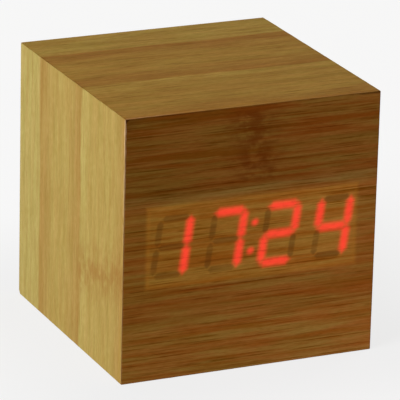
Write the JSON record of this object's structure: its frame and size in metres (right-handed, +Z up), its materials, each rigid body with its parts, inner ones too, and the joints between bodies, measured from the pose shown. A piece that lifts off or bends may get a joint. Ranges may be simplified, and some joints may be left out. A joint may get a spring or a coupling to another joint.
{
  "type": "desk clock",
  "caption": "Cube-shaped wooden desk clock whose lit digits shine through the bamboo front; the rear has push buttons, a power inlet and a hinged battery door.",
  "frame": {"origin": "middle of the underside, on the surface that the clock stands on", "axes": "+Z up, -Y out of the front face, -X to the left of a person who reads the clock"},
  "size_m": [0.06, 0.06, 0.06],
  "materials": {
    "bamboo_veneer": "satin bamboo veneer with fine straight fibres",
    "fibreboard": "bare fibreboard edge",
    "black_plastic": "fine moulded texture",
    "white_plastic": "smooth moulded",
    "diffuser": "frosted film",
    "circuit_board": "solder mask",
    "chip_plastic": "moulded epoxy",
    "steel": "nickel-plated steel",
    "brass": "bright brass",
    "cell_sleeve": "plain printed sleeve on a metal can",
    "ribbon_sleeve": "soft cable sleeve",
    "red_sleeve": "soft cable sleeve",
    "black_sleeve": "soft cable sleeve"
  },
  "bodies": {
    "case": {"front_veneer": "bamboo_veneer", "top_veneer": "bamboo_veneer", "right_veneer": "bamboo_veneer", "bottom_veneer": "bamboo_veneer", "left_veneer": "bamboo_veneer", "front_board": "fibreboard", "top_board": "fibreboard", "right_board": "fibreboard", "bottom_board": "fibreboard", "left_board": "fibreboard", "corner_block_top_left": "fibreboard", "corner_block_top_right": "fibreboard", "corner_block_bottom_left": "fibreboard", "corner_block_bottom_right": "fibreboard", "diffuser_film": "diffuser", "light_frame": "white_plastic", "display_board": "circuit_board", "display_screw_1": "steel", "display_screw_2": "steel", "display_screw_3": "steel", "display_screw_4": "steel", "clock_chip": "chip_plastic", "crystal": "steel", "buzzer": "black_plastic", "rear_cover": "black_plastic", "rear_cover_screw_1": "steel", "rear_cover_screw_2": "steel", "rear_cover_screw_3": "steel", "rear_cover_screw_4": "steel", "switch_body_set": "steel", "switch_body_up": "steel", "switch_body_down": "steel", "key_board": "circuit_board", "key_board_screw_1": "steel", "key_board_screw_2": "steel", "dc_jack": "black_plastic", "dc_jack_pin": "brass", "cell_1": "cell_sleeve", "cell_2": "cell_sleeve", "cell_3": "cell_sleeve", "contact_spring_1": "steel", "contact_spring_2": "steel", "contact_spring_3": "steel", "contact_plate_positive": "steel", "contact_plate_negative": "steel", "contact_plate_pair_left": "steel", "contact_plate_pair_right": "steel", "link_ribbon": "ribbon_sleeve", "battery_lead_positive": "red_sleeve", "battery_lead_negative": "black_sleeve"},
    "door": {"battery_door": "black_plastic"},
    "set_button": {"button_set": "black_plastic", "switch_plunger_set": "black_plastic"},
    "up_button": {"button_up": "black_plastic", "switch_plunger_up": "black_plastic"},
    "down_button": {"button_down": "black_plastic", "switch_plunger_down": "black_plastic"}
  },
  "joints": [
    {"name": "battery_door_hinge", "type": "hinge", "parent": "case", "child": "door", "pos_m": [0, 0.0286, 0.0109], "axis": [-1, 0, 0], "range_deg": [0, 80]},
    {"name": "set_button_press", "type": "slide", "parent": "case", "child": "set_button", "axis": [0, -1, 0], "range_m": [0, 0.0005], "stiffness_N_per_m": 600},
    {"name": "up_button_press", "type": "slide", "parent": "case", "child": "up_button", "axis": [0, -1, 0], "range_m": [0, 0.0005], "stiffness_N_per_m": 600},
    {"name": "down_button_press", "type": "slide", "parent": "case", "child": "down_button", "axis": [0, -1, 0], "range_m": [0, 0.0005], "stiffness_N_per_m": 600}
  ]
}
